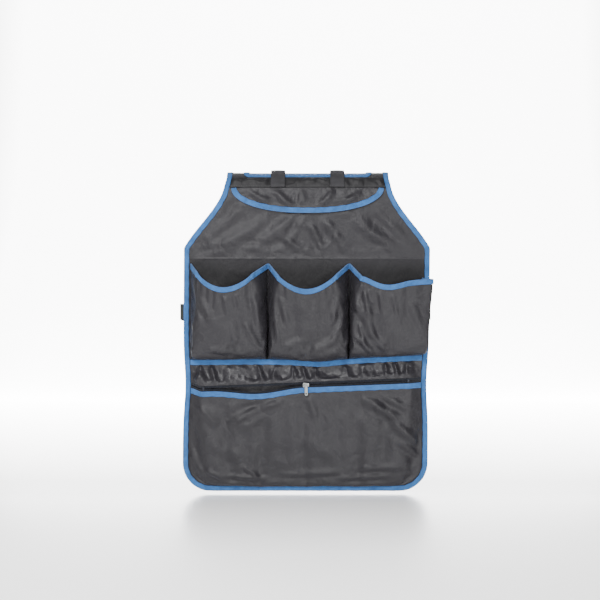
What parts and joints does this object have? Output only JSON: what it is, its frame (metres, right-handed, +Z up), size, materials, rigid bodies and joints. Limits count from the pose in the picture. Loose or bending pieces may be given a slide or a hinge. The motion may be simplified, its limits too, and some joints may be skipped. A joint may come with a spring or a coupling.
{
  "type": "car seat organizer",
  "caption": "Hanging cloth organizer for the back of a car seat, with open pockets in a row, a zipped pocket and bound edges.",
  "frame": {"origin": "middle of the headrest slot, where the organizer hangs on the headrest's posts, level with the cloth on top of the seat", "axes": "+Z up, +X to the right as seen from the front, -Y towards the viewer and +Y towards the seat"},
  "size_m": [0.4573, 0.1351, 0.5805],
  "materials": {
    "charcoal_nylon": "dark grey coated nylon with a soft shine",
    "blue_tape": "bright blue woven binding tape, matt",
    "black_webbing": "black woven webbing",
    "hook_and_loop": "black hook-and-loop tape",
    "zip_cloth": "navy woven zip tape",
    "zip_plastic": "dark nylon zip coil",
    "zip_metal": "plated zip slider, pull and stops",
    "black_elastic": "black ribbed elastic"
  },
  "bodies": {
    "organizer": {"back_panel": "charcoal_nylon", "outer_binding": "blue_tape", "slot_binding": "blue_tape", "top_band": "charcoal_nylon", "top_flap": "charcoal_nylon", "flap_binding": "blue_tape", "left_strap": "black_webbing", "right_strap": "black_webbing", "left_loop_patch": "hook_and_loop", "left_hook_patch": "hook_and_loop", "right_loop_patch": "hook_and_loop", "right_hook_patch": "hook_and_loop", "pocket_left": "charcoal_nylon", "pocket_middle": "charcoal_nylon", "pocket_right": "charcoal_nylon", "pocket_binding": "blue_tape", "lower_band": "charcoal_nylon", "lower_band_binding": "blue_tape", "zip_tape_upper": "zip_cloth", "zip_tape_lower": "zip_cloth", "zip_coil_upper": "zip_plastic", "zip_coil_lower": "zip_plastic", "zip_stop_left": "zip_metal", "zip_stop_right": "zip_metal", "zip_pocket": "charcoal_nylon", "zip_pocket_binding": "blue_tape", "seat_strap": "black_elastic"},
    "zip_slider": {"zip_slider": "zip_metal"},
    "zip_pull": {"zip_pull": "zip_metal"}
  },
  "joints": [
    {"name": "zip_slide", "type": "slide", "parent": "organizer", "child": "zip_slider", "axis": [0.9992, 0, 0.04], "range_m": [-0.177, 0.177]},
    {"name": "pull_swing", "type": "hinge", "parent": "zip_slider", "child": "zip_pull", "pos_m": [-0.00338, -0.05449, -0.3825], "axis": [-0.9992, 0, -0.04], "range_deg": [-7, 180]}
  ]
}
